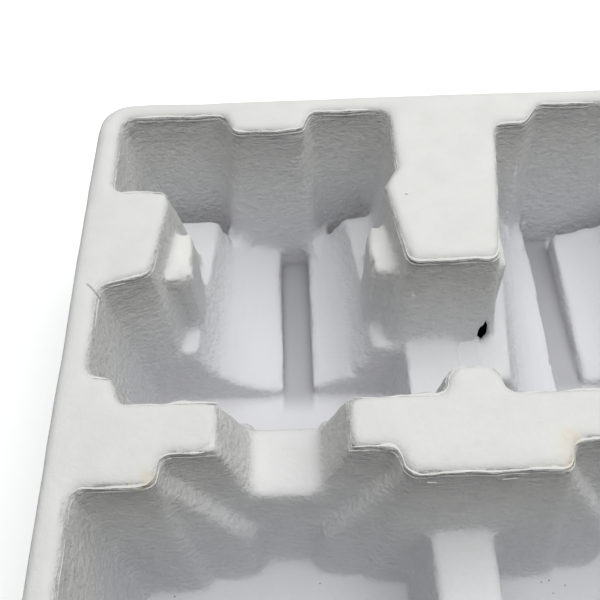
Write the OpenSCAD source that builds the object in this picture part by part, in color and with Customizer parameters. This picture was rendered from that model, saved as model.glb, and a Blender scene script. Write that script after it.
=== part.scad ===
// Molded pulp tray with four cells in two rows, each made to hold a tapered item on its side.
// Frame: origin at the middle of the base, X across the tray, +Y to the far end, Z up.

/* [Tray] */
// Width across the top land
tray_w = 282; // [270:1:300]
// Length along the top land
tray_l = 310; // [298:1:330]
// Height from the base to the top land
tray_h = 86; // [78:1:94]
// Thickness of the pulp
pulp = 2.6; // [2:0.1:3.2]
// Draft of the cell walls, in degrees
draft = 7; // [5:0.5:8]
// Plan radius of the tray's outer corners
outline_r = 13; // [8:1:20]

/* [Rim] */
// Width of the land along the two sides
rim_side = 10; // [8:0.5:13]
// Width of the land along the two ends
rim_end = 9; // [7:0.5:12]
// Height of the flange that turns down round the rim
flange_h = 20; // [12:1:30]
// Outward flare of the flange, in degrees
flange_flare = 3; // [0:0.5:6]
// Rounding of the rim's outer edge
rim_r = 4; // [3:0.5:6]

/* [Edges] */
// Rounding where the land turns down into a cell
lip_r = 3.5; // [2.5:0.25:4.5]
// Rounding where a cell wall meets its floor
floor_r = 4; // [2:0.5:6]
// Plan radius of the inner corners of a cell
inner_r = 4.5; // [3:0.25:5]
// Plan radius of the corners of a land
edge_r = 4.8; // [3:0.2:6]

/* [End wall] */
// Distance from the side of the tray to the middle of the end rib
rib_u = 72; // [66:1:78]
// Width of the end rib's face
rib_w = 28.5; // [20:0.5:34]
// How far the end rib stands out from the end wall
rib_out = 10.5; // [8:0.5:14]
// Sideways run of the end rib's slanted flanks
rib_flare = 4; // [2:0.5:6]
// Width of the thick corner beside the divider, in the right-hand column
corner_w = 12.2; // [10:0.2:16]

/* [Side blocks] */
// Distance from the end of the tray to a side block
block_v = 51.7; // [48:0.5:56]
// Length of a side block
block_len = 40.5; // [36:0.5:44]
// Distance from the side of the tray to a side block's face
block_reach = 33.9; // [28:0.5:38]
// How much a side block narrows towards the cross wall
block_taper = 5.5; // [2:0.5:8]
// Slant of a side block's near edge
block_slant = 5; // [2:0.5:8]

/* [Divider] */
// Length of the divider block from the end of the tray
divider_len = 90.5; // [84:0.5:96]
// Half width of the divider block at its nose
nose_half = 16.7; // [14:0.1:20]
// Half width of the divider block at its shoulder
shoulder_half = 22.4; // [18:0.2:26]
// Distance from the end of the tray to the shoulder
shoulder_v = 52.6; // [48:0.5:58]
// Length of the slant from the neck to the shoulder
shoulder_run = 9; // [6:0.5:12]
// Half width of the divider block's root, in the right-hand column
root_half = 26.8; // [24:0.2:30]

/* [Cross wall] */
// Thickness of the cross wall across its land
cross_w = 17.9; // [14:0.5:22]
// Half width of the stub that points into the far row
stub_half = 9.1; // [7:0.2:12]
// Length of the stub
stub_out = 10.3; // [9.5:0.2:14]
// Half width of the pad that points into the near row
pad_half = 27.1; // [22:0.5:32]
// Length of the pad
pad_out = 9.6; // [9.5:0.1:13]
// Length of the small corner step in the far row, from the side of the tray
step_far_u = 20.7; // [17:0.5:26]
// Length of the wide corner step in the near row, from the side of the tray
step_near_u = 36.5; // [30:0.5:42]
// Depth of the corner steps
step_v = 10.6; // [9.5:0.2:13]

/* [Saddle] */
// Distance from the side of the tray to the axis of a cell
axis_u = 76.5; // [72:0.5:80]
// Half width of the saddle notch at the land
notch_half = 22; // [18:0.5:26]
// Half width of the saddle notch at its floor
notch_floor_half = 11.7; // [8:0.5:15]
// Depth of the saddle notch below the land
notch_depth = 31; // [24:1:36]
// Width of the sloped ledge on the outer side of the notch
ledge_w_outer = 18.5; // [14:0.5:24]
// Width of the sloped ledge on the inner side of the notch
ledge_w_inner = 25.5; // [18:0.5:28]
// How far the ledges stand out from the cross wall
ledge_out = 14.5; // [10:0.5:16]
// Depth of a ledge below the land where it leaves the cross wall
ledge_depth = 33.5; // [32:0.5:38]
// Drop of a ledge's top towards its front edge
ledge_drop = 12.5; // [6:0.5:18]

// Depth where the slanted flares beside the near row's notch leave the wall
flare_top = 6.5; // [4:0.5:8]
// Depth of the foot of the flares
flare_depth = 53; // [48:1:60]
// How far the flares stand back from the faces that they join
flare_back = 1.4; // [0.6:0.2:2]

/* [Cradle] */
// Depth of the cradle's shelf below the land
shelf_depth = 49.8; // [44:0.2:56]
// Depth of the cradle's axis below the land
axis_depth = 40; // [36:1:44]
// Cradle radius at its end-wall end
cradle_r_end = 31; // [28:0.5:34]
// Cradle radius at its cross-wall end
cradle_r_cross = 42.5; // [38:0.5:43]
// Distance from the end of the tray to the cradle
cradle_v = 26.2; // [22:0.2:32]
// Length of the cradle
cradle_len = 72; // [60:1:80]
// Length of the longer cradle apron beside the divider, in the far right-hand cell
apron_len = 88; // [76:1:94]
// Width of the channel along the bottom of the cradle
channel_w = 13; // [8:0.5:18]
// Shift of the channel towards the divider
channel_shift = 5; // [0:0.5:8]
// Depth of the far row's dam between two cells below the land
dam_far_depth = 48.5; // [42:0.5:49.5]
// Depth of the near row's dam
dam_near_depth = 41.5; // [38:0.5:48]
// Half width of the dam, at its top
dam_half = 11; // [8:0.5:14]
// Shift of the dam towards the left-hand column
dam_shift = 4; // [0:0.5:6]
// Groove between the far row's dam and the apron
groove_w = 5.2; // [3:0.2:8]

/* [Lugs] */
// Depth of the stacking lugs' tops below the land
lug_depth = 14; // [10:0.5:18]
// Length of a stacking lug
lug_len = 24; // [18:0.5:28]
// How far a stacking lug stands out from its block's edge
lug_out = 7.6; // [5:0.2:9]
// Draft of the lugs, in degrees
lug_draft = 1.2; // [0.4:0.2:2]
// Half width of the divider block over its right-hand lug
lug_right_half = 23.5; // [22:0.5:27]
// Distance from the end of the tray to the lugs
lug_v = 62; // [58:0.5:66]
// Gap between the channel and the heel lug at the foot of the end wall
heel_gap = 2.5; // [1:0.5:6]
// Width of the heel lug
heel_w = 7.5; // [5:0.5:10]
// Reach of the heel lug from the end of the tray
heel_v = 36.5; // [32:0.5:40]
// Depth of the heel lug's top below the land
heel_depth = 66; // [60:1:70]

/* [Tear] */
// Length of the torn hole at the divider's right-hand foot
tear_l = 11; // [6:0.5:14]
// Width of the torn hole
tear_w = 4.2; // [2:0.2:6]
// Depth of the middle of the torn hole below the land
tear_depth = 45; // [40:0.2:48]
// Distance of the torn hole from the corner of the divider's nose
tear_in = 5; // [2:0.2:6]
// Turn of the torn hole towards the right-hand column, in degrees
tear_turn = 8; // [0:1:45]

/* [Hidden] */

// Segments in a plan corner, in a lip and in a floor rounding
corner_n = 3;
lip_n = 3;
floor_n = 2;
// Segments in a full turn of a block's corners, a notch's edges, the trough and the torn hole
block_fn = 16;
notch_fn = 24;
trough_fn = 40;
tear_fn = 64;
// Least plan radius of any corner
least_r = 0.6;
// Overshoot that keeps cuts clear of the faces they meet
over = 1;

left = -tray_w / 2;
far = tray_l / 2;
end_y = far - rim_end;
cross_y = cross_w / 2;
axis_x = left + axis_u;
block_near_y = far - block_v - block_len;
cell_depth = tray_h - pulp;

// A land corner is limited by the shortest step that it rounds
land_r = min(edge_r, min(step_v, stub_out, pad_out) - inner_r);
// The draft eases where the narrowest bay would lose its floor
bay = min(block_near_y - block_slant - cross_y - step_v, block_v - rim_end);
wall_draft = min(draft, atan((bay / 2 - floor_r - inner_r) / cell_depth));

// Outline helpers: outlines run clockwise as seen from above, each corner is [x, y, radius]

function flat(p) = [p[0], p[1]];
function unit(v) = v / norm(v);
function left_of(d) = [-d[1], d[0]];

// Points of one rounded corner, with the outline moved outwards by out
function corner_arc(before, corner, after, out, grow) =
    let (
        d1 = unit(flat(corner) - flat(before)),
        d2 = unit(flat(after) - flat(corner)),
        n1 = left_of(d1),
        n2 = left_of(d2),
        turn = atan2(cross(d1, d2), d1 * d2),
        side = turn < 0 ? 1 : -1,
        r = max(least_r, corner[2] + side * grow),
        centre = flat(corner) + (out - side * r) * (n1 + n2) / (1 + n1 * n2),
        start = atan2(n1[1], n1[0])
    )
    [for (k = [0 : corner_n])
        let (a = start + turn * k / corner_n)
        centre + side * r * [cos(a), sin(a)]];

// One level ring of an outline
function ring(outline, out, z, grow) =
    let (n = len(outline))
    [for (i = [0 : n - 1])
        each [for (p = corner_arc(outline[(i + n - 1) % n], outline[i], outline[(i + 1) % n], out, grow))
            [p[0], p[1], z]]];

// Solid through a list of rings, from the top one down
module loft(rings) {
    n = len(rings[0]);
    m = len(rings);
    sides = [for (j = [0 : m - 2], i = [0 : n - 1])
        let (k = (i + 1) % n, a = j * n, b = (j + 1) * n)
        each [[a + k, a + i, b + i], [a + k, b + i, b + k]]];
    top = [[for (i = [0 : n - 1]) i]];
    bottom = [[for (i = [n - 1 : -1 : 0]) (m - 1) * n + i]];
    polyhedron(points = [for (r = rings) each r], faces = concat(top, sides, bottom));
}

// Solid that follows a wall profile, a list of [outward offset, height], round an outline
module walls(outline, profile, grow = 0) {
    loft([for (q = profile) ring(outline, q[0], q[1], grow)]);
}

// Block with drafted flanks, its top at a depth below the land; inset makes the hollow under it
module block(x0, x1, y0, y1, depth, flank, r, inset) {
    h = tray_h - depth - inset + over;
    top_r = max(r - inset, least_r);
    run = top_r + inset;
    hull()
        for (x = [x0 + run, x1 - run], y = [y0 + run, y1 - run])
            translate([x, y, -over]) cylinder(h = h, r1 = top_r + h * tan(flank), r2 = top_r, $fn = block_fn);
}

// Wall profiles

// Face of a cell: lip, drafted wall and floor, from above the land down to the floor
function cell_profile() =
    let (
        arc = 90 - wall_draft,
        lip_run = lip_r * tan(arc / 2),
        foot = -cell_depth * tan(wall_draft) - floor_r * tan(arc / 2)
    )
    concat(
        [[lip_run, tray_h + over]],
        [for (k = [0 : lip_n]) let (a = arc * k / lip_n)
            [lip_run - lip_r * sin(a), tray_h - lip_r * (1 - cos(a))]],
        [for (k = [floor_n : -1 : 0]) let (a = arc * k / floor_n)
            [foot + floor_r * sin(a), pulp + floor_r * (1 - cos(a))]]
    );

// Back of the same walls, one pulp thickness out
function back_profile() =
    let (
        arc = 90 - wall_draft,
        foot = -cell_depth * tan(wall_draft) - floor_r * tan(arc / 2),
        r = floor_r + pulp
    )
    concat(
        [[pulp / cos(wall_draft), tray_h - pulp / 2]],
        [for (k = [floor_n : -1 : 0]) let (a = arc * k / floor_n)
            [foot + r * sin(a), pulp + floor_r - r * cos(a)]]
    );

// Outer face of the rim and its flange
function rim_profile() =
    concat(
        [for (k = [0 : lip_n]) let (a = 90 * k / lip_n)
            [rim_r * (sin(a) - 1), tray_h - rim_r * (1 - cos(a))]],
        [[(flange_h - rim_r) * tan(flange_flare), tray_h - flange_h]]
    );

// Inside of the rim and its flange
function rim_inside() = [
    [-pulp, tray_h - pulp],
    [flange_h * tan(flange_flare) - pulp, tray_h - flange_h - over]
];

// Outlines

function tray_outline() = [
    [left, far, outline_r],
    [-left, far, outline_r],
    [-left, -far, outline_r],
    [left, -far, outline_r]
];

// Side wall of a row with its block and corner step, from the end of the tray to the cross wall
function side_wall(step_u) = [
    [left + rim_side, end_y, inner_r],
    [left + rim_side, far - block_v, inner_r],
    [left + block_reach, far - block_v, land_r],
    [left + block_reach - block_taper, block_near_y, land_r],
    [left + rim_side, block_near_y - block_slant, inner_r],
    [left + rim_side, cross_y + step_v, inner_r],
    [left + step_u, cross_y + step_v, land_r],
    [left + step_u, cross_y, inner_r]
];

function mirrored(points) = [for (p = points) [-p[0], p[1], p[2]]];
function reversed(points) = [for (i = [len(points) - 1 : -1 : 0]) points[i]];

// End wall of a row: recess, rib, recess, divider block, thick corner and plain recess
function end_wall() =
    let (rib_x = left + rib_u, half = rib_w / 2)
    [
        [rib_x - half - rib_flare, end_y, inner_r],
        [rib_x - half, end_y - rib_out, land_r],
        [rib_x + half, end_y - rib_out, land_r],
        [rib_x + half + rib_flare, end_y, inner_r],
        [-nose_half, end_y, inner_r],
        [-nose_half, far - shoulder_v + shoulder_run, inner_r],
        [-shoulder_half, far - shoulder_v, land_r],
        [-nose_half, far - divider_len, land_r],
        [nose_half, far - divider_len, land_r],
        [root_half, end_y - rib_out, inner_r],
        [root_half + corner_w, end_y - rib_out, land_r],
        [root_half + corner_w + 2 * rib_flare, end_y, inner_r]
    ];

// Outline of one row of two cells, with a stub of the cross wall that points into it
function row_outline(half, out, step_u) = concat(
    end_wall(),
    mirrored(side_wall(step_u)),
    [
        [half, cross_y, inner_r],
        [half, cross_y + out, land_r],
        [-half, cross_y + out, land_r],
        [-half, cross_y, inner_r]
    ],
    reversed(side_wall(step_u))
);

// Solids that stand in a cell; inset above zero draws the hollow under each of them

// Tapered trough and channel that the cradle is cut by
module trough(inset) {
    taper = (cradle_r_cross - cradle_r_end) / (far - cradle_v - cross_y);
    y0 = far - rim_end;
    translate([axis_x, y0, tray_h - axis_depth]) rotate([90, 0, 0])
        cylinder(
            h = y0, r1 = cradle_r_end - taper * (cradle_v - rim_end) + inset,
            r2 = cradle_r_end + taper * (far - cradle_v) + inset, $fn = trough_fn);
    translate([axis_x + channel_shift - channel_w / 2 - inset, 0, -2 * over])
        cube([channel_w + 2 * inset, far, tray_h - axis_depth]);
}

// Cradle of the left-hand cell of the far row
module cradle(inset) {
    y1 = far - cradle_v;
    difference() {
        block(left + rim_side, 0, y1 - cradle_len, y1, shelf_depth, wall_draft, inner_r, inset);
        trough(inset);
    }
}

// Apron that carries the inner side of the right-hand cell's cradle further on
module apron(inset) {
    x0 = dam_half - dam_shift + groove_w;
    y1 = far - cradle_v;
    difference() {
        block(x0, -axis_x - channel_shift, y1 - apron_len, y1, shelf_depth, wall_draft, inner_r, inset);
        mirror([1, 0, 0]) trough(inset);
    }
}

// Dam between the divider's nose and the cross wall
module dam(depth, inset) {
    block(-dam_half - dam_shift, dam_half - dam_shift, 0, far - shoulder_v, depth, wall_draft, lip_r, inset);
}

// Stacking lug on the left-hand side block, and the two on the divider block
module side_lug(inset) {
    y1 = far - lug_v;
    x1 = left + block_reach + lug_out;
    block(left + rim_side, x1, y1 - lug_len, y1, lug_depth, lug_draft, inner_r, inset);
}

module divider_lugs(inset) {
    y1 = far - lug_v;
    block(-shoulder_half - lug_out, lug_right_half, y1 - lug_len, y1, lug_depth, lug_draft, inner_r, inset);
}

// Heel lug at the foot of the end wall
module heel(inset) {
    x0 = axis_x + channel_shift + channel_w / 2 + heel_gap;
    block(x0, x0 + heel_w, far - heel_v, far, heel_depth, lug_draft, lip_r, inset);
}

// Sloped ledges on both sides of the saddle notch
module ledge(inner, outer, inset) {
    x0 = min(inner, outer);
    x1 = max(inner, outer);
    hull() {
        block(x0, x1, -ledge_out, cross_y + lip_r, ledge_depth, wall_draft, inner_r, inset);
        block(x0, x1, -ledge_out, cross_y + ledge_out, ledge_depth + ledge_drop, wall_draft, inner_r, inset);
    }
}

module ledges(inset) {
    outer = axis_x - notch_floor_half;
    inner = axis_x + notch_floor_half;
    ledge(outer, outer - ledge_w_outer, inset);
    ledge(inner, inner + ledge_w_inner, inset);
}

// Slanted flares that widen the near row's saddle notch downwards
module flare(top0, top1, foot0, foot1, inset) {
    y1 = cross_y + pad_out - flare_back;
    foot_y1 = y1 + (flare_depth - flare_top) * tan(wall_draft) - flare_back;
    hull() {
        block(top0, top1, -ledge_out, y1, flare_top, wall_draft, inner_r, inset);
        block(foot0, foot1, -ledge_out, foot_y1, flare_depth, wall_draft, inner_r, inset);
    }
}

module flares(inset) {
    step_x = left + step_near_u;
    root = 2 * inner_r + 2 * pulp;
    flare(step_x - flare_back - root, step_x - flare_back, step_x, axis_x - notch_floor_half, inset);
    flare(flare_back - pad_half, flare_back - pad_half + root, axis_x + notch_floor_half, -pad_half, inset);
}

// All the solids of a row, with an apron and ledges in the far row and flares in the near one
module row_solids(has_apron, dam_depth, inset) {
    for (m = [0, 1]) mirror([m, 0, 0]) {
        cradle(inset);
        side_lug(inset);
        heel(inset);
        if (has_apron) ledges(inset);
        else flares(inset);
    }
    divider_lugs(inset);
    dam(dam_depth, inset);
    if (has_apron) apron(inset);
}

// Cross-section of a saddle notch, with its top at the land
module notch_shape() {
    polygon([
        [-notch_half, 0], [-notch_floor_half, -notch_depth],
        [notch_floor_half, -notch_depth], [notch_half, 0]
    ]);
}

// The cross-section of both saddle notches swept through the cross wall
module through_cross_wall(deep) {
    for (m = [0, 1]) mirror([m, 0, 0])
        translate([axis_x, deep / 2, tray_h]) rotate([90, 0, 0]) linear_extrude(deep) children();
}

// Saddle notches, their top edges rounded into the land
module notches() {
    through_cross_wall(cross_w + 2 * ledge_out)
        offset(r = -lip_r, $fn = notch_fn) offset(delta = lip_r) {
            notch_shape();
            translate([-2 * notch_half, 0]) square([4 * notch_half, 2 * lip_r]);
        }
}

// Pulp that backs the saddle notches, where they cut the hollow cross wall
module notch_backs() {
    deep = cross_w + 2 * (notch_depth + pulp) * tan(wall_draft);
    intersection() {
        through_cross_wall(deep) offset(delta = pulp) notch_shape();
        translate([left, -far, 0]) cube([tray_w, tray_l, tray_h - pulp / 2]);
    }
}

// Rows: the space inside the cells and the pulp bodies round it

// Each row is [mirrored to the near end, has an apron, depth of its dam, outline]
function rows() = [
    [0, true, dam_far_depth, row_outline(stub_half, stub_out, step_far_u)],
    [1, false, dam_near_depth, row_outline(pad_half, pad_out, step_near_u)]
];

module row_spaces() {
    for (row = rows()) mirror([0, row[0], 0]) difference() {
        walls(row[3], cell_profile());
        row_solids(row[1], row[2], 0);
    }
}

module row_bodies() {
    for (row = rows()) mirror([0, row[0], 0]) difference() {
        walls(row[3], back_profile(), pulp);
        row_solids(row[1], row[2], pulp);
    }
}

// Land with its turned-down flange, open below
module rim() {
    difference() {
        walls(tray_outline(), rim_profile());
        walls(tray_outline(), rim_inside(), -pulp);
    }
}

// Torn hole at the right-hand foot of the divider's nose
module tear() {
    drop = tear_depth * tan(wall_draft);
    arc_r = (tear_l * tear_l / 4 + tear_w * tear_w / 4) / tear_w;
    place = [nose_half + drop - tear_in, far - divider_len - drop, tray_h - tear_depth];
    translate(place) rotate([90, 0, tear_turn])
        linear_extrude(4 * pulp, center = true) intersection() {
            translate([arc_r - tear_w / 2, 0]) circle(r = arc_r, $fn = tear_fn);
            translate([tear_w / 2 - arc_r, 0]) circle(r = arc_r, $fn = tear_fn);
        }
}

module tray() {
    color("whitesmoke") difference() {
        union() {
            rim();
            row_bodies();
            notch_backs();
        }
        row_spaces();
        notches();
        tear();
    }
}

tray();
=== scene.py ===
import math

import bpy
from mathutils import Matrix, Vector, noise


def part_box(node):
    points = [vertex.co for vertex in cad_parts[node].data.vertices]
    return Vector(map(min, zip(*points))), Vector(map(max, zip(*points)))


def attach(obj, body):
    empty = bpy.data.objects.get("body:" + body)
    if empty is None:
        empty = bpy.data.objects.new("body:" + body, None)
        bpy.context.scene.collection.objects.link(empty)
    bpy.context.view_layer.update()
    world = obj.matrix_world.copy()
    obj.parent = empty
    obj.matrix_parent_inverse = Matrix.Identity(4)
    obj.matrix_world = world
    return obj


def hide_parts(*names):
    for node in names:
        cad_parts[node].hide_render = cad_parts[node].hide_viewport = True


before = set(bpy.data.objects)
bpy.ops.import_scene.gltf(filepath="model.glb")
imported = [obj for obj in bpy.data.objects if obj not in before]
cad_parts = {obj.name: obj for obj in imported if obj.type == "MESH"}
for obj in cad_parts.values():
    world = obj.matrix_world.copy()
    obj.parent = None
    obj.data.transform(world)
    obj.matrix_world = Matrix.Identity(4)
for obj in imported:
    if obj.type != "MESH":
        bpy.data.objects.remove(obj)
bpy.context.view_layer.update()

# Sizes of the tray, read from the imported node, in metres
MM = 0.001
low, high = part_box("tray")
LAND_Z = high.z
FLARE = 0.84 * MM
HALF_W = high.x - FLARE
HALF_L = high.y - FLARE

# Making of the skin: weld of the solid, spacing of the cuts, snap of a cut, shortest edge kept
WELD = 0.002 * MM
CUT = 4.6 * MM
CUT_SNAP = 0.01 * MM
MERGE = 0.3 * MM

# Softening of the skin, and how far two neighbour faces turn back before they count as folded
SMOOTH_SHARE = 0.5
SMOOTH_TURNS = 3
BEAUTY_ANGLE = math.radians(6)
SHARP_ANGLE = math.radians(50)
FOLDED = -0.2

# Tight corners at the feet of the end walls that the wet pulp rounds off: across and up, millimetres
CORNER_ALONG = 127.0
CORNER_FEET = ((48.5, 20.0), (87.5, 25.5))
MELT_REACH = 9.0 * MM
MELT_TURNS = 6

# Ripples of the skin: size of the clouds and how far they move it
SAG_SIZE = 30.0 * MM
SAG_MOVE = 0.6 * MM
RIPPLE_SIZE = 11.0 * MM
RIPPLE_MOVE = 0.4 * MM

# Rolled beads along the lips: drop below the land, thickness, waviness, share on sideways lips
LIP_BEADS = (
    (1.51 * MM, 1.1 * MM, 0.45 * MM, 0.1),
    (3.07 * MM, 0.6 * MM, 0.5 * MM, 0.35),
)
# How far the beads sink into the lips, how near a ring's level its vertices lie, the rim left out
SINK = 0.35 * MM
RING_BAND = 0.08 * MM
RIM_MARGIN = 6.0 * MM
BEAD_CUTS = 30
BEAD_STEP = 1.3 * MM

# The middle pad, whose beads are fuller, in metres
PAD_HALF_W = 0.032
PAD_NEAR = -0.026
PAD_FAR = -0.005

# Swelling and waving of the beads along their run: shares and waves in a metre
PAD_SWELL = 0.85
PLAIN_SWELL = 0.55
LEAST_SWELL = 0.1
SLOW_SWELL = 0.6
QUICK_SWELL = 0.45
SLOW_SWELL_RATE = 70.0
QUICK_SWELL_RATE = 230.0
SIDE_WAVE_RATE = 160.0
SLOW_WAVE_RATE = 110.0
QUICK_WAVE_RATE = 290.0
QUICK_WAVE = 0.6
SWELL_SHIFT = Vector((0.0, 9.0, 0.0))
WAVE_SHIFT = Vector((5.0, 0.0, 0.0))
SHORTEST_RUN = 0.01 * MM

# Flakes of fibre on the pad's near face: place and size in millimetres, turn in radians
FLAKES = (
    ((6.3, -19.6, 80.6), (5.4, 0.5, 0.9), (0.3, 0.0, 0.05)),
    ((-18.2, -19.9, 80.6), (3.6, 0.5, 0.7), (0.5, 0.3, 0.1)),
)
FLAKE_CUTS = 3
FLAKE_RAGGED = 0.15 * MM
FLAKE_SEED = 3

# Pulp settled in the valley beside the far dam: place and size, in millimetres
VALLEY_PLACE = (10.0, 52.0, 24.5)
VALLEY_SIZE = (8.4, 20.0, 23.6)
VALLEY_CUTS = 8

# Colours of the pulp and its marks
PULP_DEEP = (0.720, 0.719, 0.692, 1.0)
PULP_PALE = (0.755, 0.754, 0.726, 1.0)
# Painted shade: the pulp darker and bluer deep below the land
PULP_DEPTH_SHADE = (0.690, 0.690, 0.708, 1.0)
# Painted shade in the wall furrows, also the colour of the random mottling on the walls
WALL_MOTTLE_AND_SHADE = (0.635, 0.635, 0.640, 1.0)
# Painted shade on the channel floors
CHANNEL_PAINTED_SHADE = (0.430, 0.430, 0.452, 1.0)
FIBRE_SHADE = (0.62, 0.615, 0.60, 1.0)
GROOVE_SHADE = (0.36, 0.35, 0.34, 1.0)
SPECK = (0.10, 0.09, 0.085, 1.0)
STAIN = (0.74, 0.62, 0.40, 1.0)
ROUGH = 0.92
SHEEN = 0.12

# Bands of the look, in millimetres below the land
HIGH_WALL_BAND = (4.0, 34.0)
FOLD_BAND = (2.0, 16.0)
DEPTH_SHADE_BAND = (6.0, 60.0)
FLOOR_BAND = (76.0, 80.0)
CHANNEL_BAND = (77.0, 82.5)
LIP_SHADE_DROP = 3.4
LIP_SHADE_HALF = 1.2

# Sides and near end of the painted shade on the channel floors, and the run of the rougher near lands, in
# millimetres
CHANNEL_INNER = (51.5, 54.0)
CHANNEL_OUTER = (67.5, 65.5)
CHANNEL_END = (43.0, 56.0)
NEAR_LAND_RUN = (70.0, -30.0)

# Heights of the relief, in millimetres
GRAIN_LAND = 0.05
GRAIN_WALL = 0.14
GRAIN_NEAR = 0.05
FELT_LAND = 0.09
FELT_WALL = 0.85
FELT_NEAR = 0.16
WRINKLE_RISE = 1.9
STREAK_RISE = 0.6
FOLD_RISE = 2.6
LIP_GROOVE = 0.25
CRACK_DEPTH = 0.4

# Places of the marks, in millimetres
FLOOR_SPECKS = (
    (31.5, -31.0), (34.6, -30.4), (35.4, -35.0),
    (40.6, -32.2), (-53.6, -28.5), (-109.6, -31.7),
)
SPECK_CORE = 0.15
SPECK_EDGE = 0.5
STAINS = ((26.3, -9.0, 86.0), (26.0, -15.5, 85.5), (-107.3, -18.5, 85.0))
STAIN_CORE = 1.0
STAIN_EDGE = 6.5
STAIN_SHARE = 0.42
CRACK = (-131.4, 54.6, 86.0)
CRACK_ACROSS = (0.698, 0.716)
CRACK_OFFSET = -52.6
CRACK_HALF = 0.4
CRACK_CORE = 3.5
CRACK_EDGE = 6.0

# Floor of the stage, with a painted shadow where the torn hole looks down on it, in metres
FLOOR_SIZE = 6.0
FLOOR_Z = -0.5 * MM
FLOOR_PALE = (0.96, 0.96, 0.96, 1.0)
# Painted shadow on the floor under the torn hole
FLOOR_PAINTED_SHADOW = (0.005, 0.005, 0.005, 1.0)
UNDER_TEAR = (0.031, 0.087, 0.0)
SPOT_CORE = 13.0 * MM
SPOT_EDGE = 20.0 * MM
FLOOR_GLOW = 0.28
GLOW_FADE = 4.0 * MM
WHITE = (1.0, 1.0, 1.0, 1.0)

# Light: a faint sky and one wide lamp overhead
SKY = (0.85, 0.92, 1.0, 1.0)
SKY_STRENGTH = 0.08
LAMP_PLACE = (0.28, 0.30, 1.15)
LAMP_AIM = (0.28, 0.30, 0.0)
LAMP_SIZE = 1.7
LAMP_POWER = 21.5

# Camera: tilt below level, roll, lens, and its place from the land's far left corner
CAMERA_PITCH = math.radians(55.27)
CAMERA_ROLL = 0.034
CAMERA_SENSOR = 36.0
CAMERA_LENS = 48.0
CAMERA_CLIP = 0.01
CAMERA_RIGHT = 83.4 * MM
CAMERA_BACK = 269.6 * MM
CAMERA_UP = 234.0 * MM


# Mesh helpers

def only(piece):
    """Makes a piece the only selected and active one."""
    bpy.ops.object.select_all(action="DESELECT")
    piece.select_set(True)
    bpy.context.view_layer.objects.active = piece


def slice_through(axis, start, stop):
    """Cuts the mesh in edit mode by a family of parallel planes."""
    count = int((stop - start) / CUT)
    normal = [0.0, 0.0, 0.0]
    normal[axis] = 1.0
    for step in range(1, count + 1):
        place = [0.0, 0.0, 0.0]
        place[axis] = start + step * (stop - start) / (count + 1)
        bpy.ops.mesh.select_all(action="SELECT")
        bpy.ops.mesh.bisect(plane_co=place, plane_no=normal, threshold=CUT_SNAP)


def apply_all(piece):
    """Applies every modifier of a piece, in order."""
    only(piece)
    for modifier in list(piece.modifiers):
        bpy.ops.object.modifier_apply(modifier=modifier.name)


def ripple(piece, name, size, strength):
    """Moves a skin in and out by soft clouds of one size."""
    clouds = bpy.data.textures.new(name, "CLOUDS")
    clouds.noise_scale = size
    clouds.noise_depth = 1
    shift = piece.modifiers.new(name, "DISPLACE")
    shift.texture = clouds
    shift.texture_coords = "LOCAL"
    shift.mid_level = 0.5
    shift.strength = strength


def solid_copy(name):
    """A copy of the tray's solid with its vertices merged, selected and in edit mode."""
    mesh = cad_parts["tray"].data.copy()
    mesh.materials.clear()
    piece = bpy.data.objects.new(name, mesh)
    bpy.context.scene.collection.objects.link(piece)
    only(piece)
    bpy.ops.object.mode_set(mode="EDIT")
    bpy.ops.mesh.select_all(action="SELECT")
    bpy.ops.mesh.remove_doubles(threshold=WELD)
    return piece


def mend_folds(skin):
    """Collapses the few faces that merging and smoothing left folded over their neighbours."""
    bpy.ops.mesh.select_all(action="DESELECT")
    bpy.ops.mesh.select_mode(type="FACE")
    bpy.ops.object.mode_set(mode="OBJECT")
    beside = {}
    for face in skin.data.polygons:
        for edge in face.edge_keys:
            beside.setdefault(edge, []).append(face)
    for pair in beside.values():
        if len(pair) == 2 and pair[0].normal.dot(pair[1].normal) < FOLDED:
            min(pair, key=lambda face: face.area).select = True
    bpy.ops.object.mode_set(mode="EDIT")
    bpy.ops.mesh.merge(type="COLLAPSE")
    bpy.ops.mesh.select_mode(type="VERT")


def melt_corners(skin):
    """Smooths the skin round the tight corners, as wet pulp closes them."""
    places = []
    for side in (-1, 1):
        for end in (-1, 1):
            for across, up in CORNER_FEET:
                places.append(Vector((side * across * MM, end * CORNER_ALONG * MM, up * MM)))
    bpy.ops.mesh.select_all(action="DESELECT")
    bpy.ops.object.mode_set(mode="OBJECT")
    for vertex in skin.data.vertices:
        vertex.select = any((vertex.co - place).length < MELT_REACH for place in places)
    bpy.ops.object.mode_set(mode="EDIT")
    bpy.ops.mesh.vertices_smooth(factor=SMOOTH_SHARE, repeat=MELT_TURNS)


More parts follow.
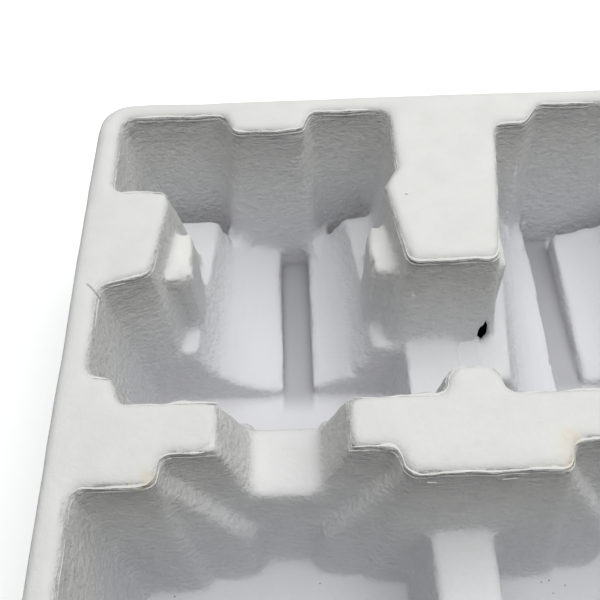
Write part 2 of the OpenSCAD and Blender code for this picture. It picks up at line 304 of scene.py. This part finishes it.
def lip_ring(drop):
    """Curve along the lips of the cells, one drop below the land."""
    ring = solid_copy("lip_bead")
    bpy.ops.mesh.select_all(action="DESELECT")
    bpy.ops.mesh.select_mode(type="EDGE")
    bpy.ops.object.mode_set(mode="OBJECT")
    mesh = ring.data
    on_ring = [abs(vertex.co.z - LAND_Z + drop) < RING_BAND for vertex in mesh.vertices]
    far_x = HALF_W - RIM_MARGIN
    far_y = HALF_L - RIM_MARGIN
    inside = [abs(vertex.co.x) < far_x and abs(vertex.co.y) < far_y for vertex in mesh.vertices]
    for edge in mesh.edges:
        start, stop = edge.vertices
        edge.select = on_ring[start] and on_ring[stop] and inside[start] and inside[stop]
    bpy.ops.object.mode_set(mode="EDIT")
    bpy.ops.mesh.select_all(action="INVERT")
    bpy.ops.mesh.delete(type="EDGE_FACE")
    bpy.ops.mesh.delete_loose(use_verts=True, use_edges=False, use_faces=False)
    bpy.ops.mesh.select_all(action="SELECT")
    bpy.ops.mesh.subdivide(number_cuts=BEAD_CUTS)
    bpy.ops.mesh.remove_doubles(threshold=BEAD_STEP)
    bpy.ops.mesh.select_mode(type="VERT")
    bpy.ops.object.mode_set(mode="OBJECT")
    bpy.ops.object.convert(target="CURVE")
    return ring


def lip_bead(drop, thick, wave, side):
    """Rolled bead of pulp along the lips, thinner on lips that face sideways."""
    bead = lip_ring(drop)
    bead.data.bevel_depth = thick
    bead.data.bevel_resolution = 1
    bead.data.use_fill_caps = True
    for spline in bead.data.splines:
        places = [Vector(point.co[:3]) for point in spline.points]
        last = len(places) - 1
        for index, point in enumerate(spline.points):
            at = places[index]
            run = places[min(index + 1, last)] - places[max(index - 1, 0)]
            turned = abs(run.x) / max(run.length, SHORTEST_RUN)
            on_pad = abs(at.x) < PAD_HALF_W and PAD_NEAR < at.y < PAD_FAR
            swell = PAD_SWELL if on_pad else PLAIN_SWELL
            swell += SLOW_SWELL * noise.noise(at * SLOW_SWELL_RATE + SWELL_SHIFT)
            swell += QUICK_SWELL * noise.noise(at * QUICK_SWELL_RATE)
            point.radius = max(swell, LEAST_SWELL) * (side + (1.0 - side) * turned * turned)
            slow = noise.noise(at * SLOW_WAVE_RATE)
            quick = noise.noise(at * QUICK_WAVE_RATE)
            point.co[1] += wave * noise.noise(at * SIDE_WAVE_RATE + WAVE_SHIFT)
            point.co[2] += wave * (slow + QUICK_WAVE * quick) - SINK
    bpy.ops.object.convert(target="MESH")
    return bead


def cut_block(place, size, turn, cuts):
    """Block at its place and size in millimetres, subdivided and left in edit mode."""
    bpy.ops.object.select_all(action="DESELECT")
    bpy.ops.mesh.primitive_cube_add(size=1.0, location=[value * MM for value in place], rotation=turn)
    block = bpy.context.active_object
    block.scale = [value * MM for value in size]
    bpy.ops.object.transform_apply(location=True, rotation=True, scale=True)
    bpy.ops.object.mode_set(mode="EDIT")
    bpy.ops.mesh.select_all(action="SELECT")
    bpy.ops.mesh.subdivide(number_cuts=cuts)
    return block


def loose_flake(place, size, turn):
    """Small ragged flake of fibre that hangs on a wall."""
    flake = cut_block(place, size, turn, FLAKE_CUTS)
    bpy.ops.transform.vertex_random(offset=FLAKE_RAGGED, seed=FLAKE_SEED)
    bpy.ops.object.mode_set(mode="OBJECT")
    return flake


def valley_fill():
    """Pulp that settled in the narrow valley between the far dam and the apron beside it."""
    fill = cut_block(VALLEY_PLACE, VALLEY_SIZE, (0.0, 0.0, 0.0), VALLEY_CUTS)
    bpy.ops.object.mode_set(mode="OBJECT")
    return fill


def pulp_skin():
    """The molded tray itself: its solid, cut fine, softened at every edge and rippled."""
    skin = solid_copy("pulp_tray")
    slice_through(0, low.x, high.x)
    slice_through(1, low.y, high.y)
    slice_through(2, low.z, high.z)
    bpy.ops.mesh.select_all(action="SELECT")
    bpy.ops.mesh.remove_doubles(threshold=MERGE)
    bpy.ops.mesh.select_all(action="SELECT")
    bpy.ops.mesh.quads_convert_to_tris(quad_method="BEAUTY", ngon_method="BEAUTY")
    mend_folds(skin)
    bpy.ops.mesh.select_all(action="SELECT")
    bpy.ops.mesh.beautify_fill(angle_limit=BEAUTY_ANGLE)
    bpy.ops.mesh.select_all(action="SELECT")
    bpy.ops.mesh.vertices_smooth(factor=SMOOTH_SHARE, repeat=SMOOTH_TURNS)
    mend_folds(skin)
    mend_folds(skin)
    melt_corners(skin)
    bpy.ops.object.mode_set(mode="OBJECT")
    extras = [lip_bead(*bead) for bead in LIP_BEADS]
    extras.extend(loose_flake(*flake) for flake in FLAKES)
    extras.append(valley_fill())
    only(skin)
    for extra in extras:
        extra.select_set(True)
    bpy.ops.object.join()
    ripple(skin, "slow_sag", SAG_SIZE, SAG_MOVE)
    ripple(skin, "wet_ripple", RIPPLE_SIZE, RIPPLE_MOVE)
    apply_all(skin)
    bpy.ops.object.shade_smooth_by_angle(angle=SHARP_ANGLE)
    return skin


# Shader helpers

class Wire:
    """A value in a material: arithmetic on it adds Math nodes."""

    def __init__(self, sheet, socket):
        self.sheet = sheet
        self.socket = socket

    def math(self, operation, *values):
        node = self.sheet.node("ShaderNodeMath", {"operation": operation})
        for slot, value in enumerate(values):
            self.sheet.feed(node.inputs[slot], value)
        return Wire(self.sheet, node.outputs[0])

    def __add__(self, other):
        return self.math("ADD", self, other)

    def __radd__(self, other):
        return self.math("ADD", other, self)

    def __sub__(self, other):
        return self.math("SUBTRACT", self, other)

    def __rsub__(self, other):
        return self.math("SUBTRACT", other, self)

    def __mul__(self, other):
        return self.math("MULTIPLY", self, other)

    def __rmul__(self, other):
        return self.math("MULTIPLY", other, self)

    def __abs__(self):
        return self.math("ABSOLUTE", self)

    def most(self, other):
        return self.math("MAXIMUM", self, other)


class Sheet:
    """The node sheet of one material."""

    def __init__(self, name):
        self.material = bpy.data.materials.new(name)
        self.material.use_nodes = True
        self.tree = self.material.node_tree
        self.tree.nodes.clear()

    def feed(self, socket, value):
        if isinstance(value, Wire):
            self.tree.links.new(value.socket, socket)
        elif isinstance(value, bpy.types.NodeSocket):
            self.tree.links.new(value, socket)
        else:
            socket.default_value = value

    def node(self, kind, settings=None, inputs=None):
        made = self.tree.nodes.new(kind)
        for key, value in (settings or {}).items():
            setattr(made, key, value)
        for key, value in (inputs or {}).items():
            self.feed(made.inputs[key], value)
        return made

    def wire(self, kind, output, settings=None, inputs=None):
        return Wire(self, self.node(kind, settings, inputs).outputs[output])

    def axes(self, vector):
        """The three values of a vector."""
        parts = self.node("ShaderNodeSeparateXYZ", None, {"Vector": vector})
        return [Wire(self, parts.outputs[axis]) for axis in "XYZ"]

    def ease(self, value, start, stop, low_value=0.0, high_value=1.0):
        """Smooth change from low_value to high_value as value goes from start to stop."""
        return self.wire(
            "ShaderNodeMapRange", "Result", {"interpolation_type": "SMOOTHSTEP"},
            {"Value": value, "From Min": start, "From Max": stop, "To Min": low_value, "To Max": high_value})

    def noise(self, place, scale, detail, rough):
        return self.wire(
            "ShaderNodeTexNoise", "Fac", None,
            {"Vector": place, "Scale": scale, "Detail": detail, "Roughness": rough})

    def joined(self, x, y, z):
        """A vector from three values."""
        return self.node("ShaderNodeCombineXYZ", None, {"X": x, "Y": y, "Z": z}).outputs["Vector"]

    def stretch(self, place, scale):
        return self.node(
            "ShaderNodeVectorMath", {"operation": "MULTIPLY"}, {0: place, 1: scale}).outputs["Vector"]

    def scaled(self, place, factor):
        return self.node(
            "ShaderNodeVectorMath", {"operation": "SCALE"}, {0: place, "Scale": factor}).outputs["Vector"]

    def bell(self, value, middle, half):
        """1 at the middle, falling to 0 at half a width on both sides."""
        return self.ease(abs(value - middle), 0.0, half, 1.0, 0.0)

    def blob(self, place, centre, core, edge):
        """1 within a core radius of a point, falling to 0 at the edge radius."""
        gap = self.wire("ShaderNodeVectorMath", "Value", {"operation": "DISTANCE"}, {0: place, 1: centre})
        return self.ease(gap, core, edge, 1.0, 0.0)

    def tint(self, mask, under, over):
        """One colour over another where the mask is 1."""
        made = self.node("ShaderNodeMix", {"data_type": "RGBA"})
        self.feed(made.inputs[0], mask)
        self.feed(made.inputs[6], under)
        self.feed(made.inputs[7], over)
        return made.outputs[2]


def white_pulp():
    """Matte white fibre: smooth on the lands, wrinkled on the walls, grooved just under the lips."""
    sheet = Sheet("white_pulp")
    place = sheet.node("ShaderNodeTexCoord").outputs["Object"]
    mm = sheet.scaled(place, 1.0 / MM)
    x, y, z = sheet.axes(mm)
    face_x, face_y, face_z = sheet.axes(sheet.node("ShaderNodeNewGeometry").outputs["Normal"])

    # Where the surface lies: on a wall, on a wall across or along the tray, how far below the land
    wall = sheet.ease(abs(face_z), 0.45, 0.85, 1.0, 0.0)
    across = sheet.ease(abs(face_y), 0.4, 0.8) * wall
    along = sheet.ease(abs(face_x), 0.4, 0.8) * wall
    below = LAND_Z / MM - z
    high_wall = sheet.ease(below, *HIGH_WALL_BAND, 1.0, 0.30)
    near_land = sheet.ease(y, *NEAR_LAND_RUN)

    # Fibre, felted lumps, level wrinkles on the cross walls and upright streaks on the side walls
    grain = sheet.noise(mm, scale=1.6, detail=2.0, rough=0.6)
    felt = sheet.noise(mm, scale=0.42, detail=3.0, rough=0.55)
    blotch = sheet.noise(mm, scale=0.07, detail=3.0, rough=0.6)
    sway = sheet.noise(mm, scale=0.09, detail=2.0, rough=0.5) * 3.4
    wavy = sheet.joined(x * 0.30, y * 0.30, z * 0.68 + sway)
    wrinkle = sheet.noise(wavy, scale=1.0, detail=4.0, rough=0.65)
    upright = sheet.stretch(mm, (0.85, 0.85, 0.10))
    streak = sheet.noise(upright, scale=1.0, detail=3.0, rough=0.6)

    # Folds that crowd below the lips of the cross walls
    crowd = sheet.ease(below, *FOLD_BAND, 1.0, 0.0) * across
    folded = sheet.joined(x * 0.13, y * 0.13, z * 0.5 + sway * 0.7)
    fold = sheet.noise(folded, scale=1.0, detail=3.0, rough=0.6)

    # Shade that gathers just under the rolled lips that face the near end
    level = sheet.stretch(mm, (0.11, 0.11, 0.0))
    wander = sheet.noise(level, scale=1.0, detail=3.0, rough=0.6)
    lip = below + (wander - 0.5) * 1.6
    near_face = sheet.ease(face_y, -0.3, -0.6)
    under_lip = sheet.bell(lip, LIP_SHADE_DROP, LIP_SHADE_HALF) * near_face

    # Hairline crack across the left-hand land
    slip = x * CRACK_ACROSS[0] + y * CRACK_ACROSS[1] - CRACK_OFFSET + (grain - 0.5) * 1.2
    crack = sheet.bell(slip, 0.0, CRACK_HALF) * sheet.blob(mm, CRACK, CRACK_CORE, CRACK_EDGE)

    # Relief: all of it in millimetres
    height = grain * (GRAIN_LAND + wall * GRAIN_WALL + near_land * GRAIN_NEAR)
    height = height + felt * (FELT_LAND + wall * FELT_WALL + near_land * FELT_NEAR)
    height = height + wrinkle * across * high_wall * WRINKLE_RISE + streak * along * STREAK_RISE
    height = height + fold * crowd * FOLD_RISE - under_lip * LIP_GROOVE - crack * CRACK_DEPTH

    # Colour: faint mottling, painted shade that turns the pulp darker and bluer deep below the land, painted
    # shade in the furrows
    colour = sheet.tint(sheet.ease(blotch, 0.3, 0.7), PULP_DEEP, PULP_PALE)
    # Painted shade, darker and bluer with depth below the land
    colour = sheet.tint(sheet.ease(below, *DEPTH_SHADE_BAND), colour, PULP_DEPTH_SHADE)
    furrow = sheet.ease(wrinkle, 0.52, 0.30) * across * high_wall
    furrow = furrow.most(sheet.ease(streak, 0.52, 0.32) * along * 0.5)
    furrow = furrow.most(sheet.ease(fold, 0.50, 0.34) * crowd)
    mottled = sheet.stretch(mm, (0.16, 0.16, 0.30))
    mottle = sheet.noise(mottled, scale=1.0, detail=4.0, rough=0.65)
    # Painted shade in the furrows, then random darker mottling on the walls
    colour = sheet.tint(furrow * 0.5, colour, WALL_MOTTLE_AND_SHADE)
    colour = sheet.tint(sheet.ease(mottle, 0.56, 0.34) * wall * 0.5, colour, WALL_MOTTLE_AND_SHADE)
    colour = sheet.tint(sheet.ease(felt, 0.40, 0.22) * 0.22, colour, FIBRE_SHADE)
    colour = sheet.tint((under_lip * 0.2).most(crack * 0.5), colour, GROOVE_SHADE)

    # Painted shade on the floors of the channels
    channel = sheet.ease(abs(x), *CHANNEL_INNER) * sheet.ease(abs(x), *CHANNEL_OUTER)
    channel = channel * sheet.ease(abs(y), *CHANNEL_END) * sheet.ease(below, *CHANNEL_BAND)
    colour = sheet.tint(channel, colour, CHANNEL_PAINTED_SHADE)

    # A few specks on the floor and old stains at the lips
    plan = sheet.stretch(mm, (1.0, 1.0, 0.0))
    on_floor = sheet.ease(below, *FLOOR_BAND)
    ragged = sheet.ease(grain, 0.3, 0.6, 0.35, 0.75)
    for across_mm, along_mm in FLOOR_SPECKS:
        speck = sheet.blob(plan, (across_mm, along_mm, 0.0), SPECK_CORE, SPECK_EDGE) * on_floor
        colour = sheet.tint(speck * ragged, colour, SPECK)
    uneven = sheet.ease(felt, 0.35, 0.65, 0.2, 1.0)
    for spot in STAINS:
        stain = sheet.blob(mm, spot, STAIN_CORE, STAIN_EDGE) * uneven * STAIN_SHARE
        colour = sheet.tint(stain, colour, STAIN)

    bump = sheet.node("ShaderNodeBump", None, {"Strength": 1.0, "Distance": MM, "Height": height})
    shader = sheet.node("ShaderNodeBsdfPrincipled", None, {
        "Base Color": colour, "Roughness": ROUGH, "Specular IOR Level": SHEEN,
        "Normal": bump.outputs["Normal"]})
    out = sheet.node("ShaderNodeOutputMaterial")
    sheet.feed(out.inputs["Surface"], shader.outputs["BSDF"])
    return sheet.material


# Stage

def pale_floor():
    """Wide pale floor that takes the tray's shadow, with a painted shadow where the torn hole looks down on
    it.
    """
    bpy.ops.object.select_all(action="DESELECT")
    bpy.ops.mesh.primitive_plane_add(size=FLOOR_SIZE, location=(0.0, 0.0, FLOOR_Z))
    floor = bpy.context.active_object
    floor.name = "pale_floor"
    sheet = Sheet("pale_floor")
    place = sheet.node("ShaderNodeTexCoord").outputs["Object"]
    # Painted shadow under the torn hole
    shaded = sheet.blob(place, UNDER_TEAR, SPOT_CORE, SPOT_EDGE)
    ground = sheet.tint(shaded, FLOOR_PALE, FLOOR_PAINTED_SHADOW)
    matte = sheet.node("ShaderNodeBsdfDiffuse", None, {"Color": ground})
    x, y, _ = sheet.axes(place)
    beyond_side = sheet.ease(abs(x), HALF_W - GLOW_FADE, HALF_W)
    beyond_end = sheet.ease(abs(y), HALF_L - GLOW_FADE, HALF_L)
    path = sheet.node("ShaderNodeLightPath")
    seen = Wire(sheet, path.outputs["Is Camera Ray"])
    seen = seen.most(Wire(sheet, path.outputs["Is Glossy Ray"]))
    seen = seen.most(Wire(sheet, path.outputs["Is Transmission Ray"]))
    glow = sheet.node("ShaderNodeEmission", None, {"Color": WHITE, "Strength": FLOOR_GLOW})
    lifted = sheet.node("ShaderNodeAddShader", None, {0: matte.outputs[0], 1: glow.outputs[0]})
    mixed = sheet.node("ShaderNodeMixShader")
    sheet.feed(mixed.inputs[0], beyond_side.most(beyond_end) * seen)
    sheet.feed(mixed.inputs[1], matte.outputs[0])
    sheet.feed(mixed.inputs[2], lifted.outputs[0])
    out = sheet.node("ShaderNodeOutputMaterial")
    sheet.feed(out.inputs["Surface"], mixed.outputs[0])
    floor.data.materials.append(sheet.material)


def pale_world():
    """Faint even light from all round, pale to the camera."""
    world = bpy.data.worlds.new("studio")
    bpy.context.scene.world = world
    world.use_nodes = True
    tree = world.node_tree
    tree.nodes.clear()
    path = tree.nodes.new("ShaderNodeLightPath")
    soft = tree.nodes.new("ShaderNodeBackground")
    soft.inputs["Color"].default_value = SKY
    soft.inputs["Strength"].default_value = SKY_STRENGTH
    pale = tree.nodes.new("ShaderNodeBackground")
    pale.inputs["Strength"].default_value = 1.0
    mixed = tree.nodes.new("ShaderNodeMixShader")
    out = tree.nodes.new("ShaderNodeOutputWorld")
    tree.links.new(path.outputs["Is Camera Ray"], mixed.inputs[0])
    tree.links.new(soft.outputs[0], mixed.inputs[1])
    tree.links.new(pale.outputs[0], mixed.inputs[2])
    tree.links.new(mixed.outputs[0], out.inputs["Surface"])


def softbox():
    """Square area lamp over the tray, turned straight down."""
    lamp = bpy.data.lights.new("ceiling", "AREA")
    lamp.shape = "SQUARE"
    lamp.size = LAMP_SIZE
    lamp.energy = LAMP_POWER
    holder = bpy.data.objects.new("ceiling", lamp)
    bpy.context.scene.collection.objects.link(holder)
    holder.location = LAMP_PLACE
    holder.rotation_euler = (Vector(LAMP_AIM) - Vector(LAMP_PLACE)).to_track_quat("-Z", "Y").to_euler()


def photo_camera():
    """Camera at the photograph's place: high over the near end, looking down along the tray."""
    camera = bpy.data.cameras.new("photo_camera")
    camera.sensor_width = CAMERA_SENSOR
    camera.lens = CAMERA_LENS
    camera.clip_start = CAMERA_CLIP
    holder = bpy.data.objects.new("photo_camera", camera)
    bpy.context.scene.collection.objects.link(holder)
    tilt = Matrix.Rotation(math.pi / 2 - CAMERA_PITCH, 4, "X")
    turn = tilt @ Matrix.Rotation(-CAMERA_ROLL, 4, "Z")
    place = Vector((-HALF_W + CAMERA_RIGHT, HALF_L - CAMERA_BACK, LAND_Z + CAMERA_UP))
    holder.matrix_world = Matrix.Translation(place) @ turn
    bpy.context.scene.camera = holder


photo_camera()
tray = pulp_skin()
tray.data.materials.append(white_pulp())
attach(tray, "root")
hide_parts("tray")

pale_floor()
pale_world()
softbox()
bpy.context.scene.view_settings.view_transform = "Standard"
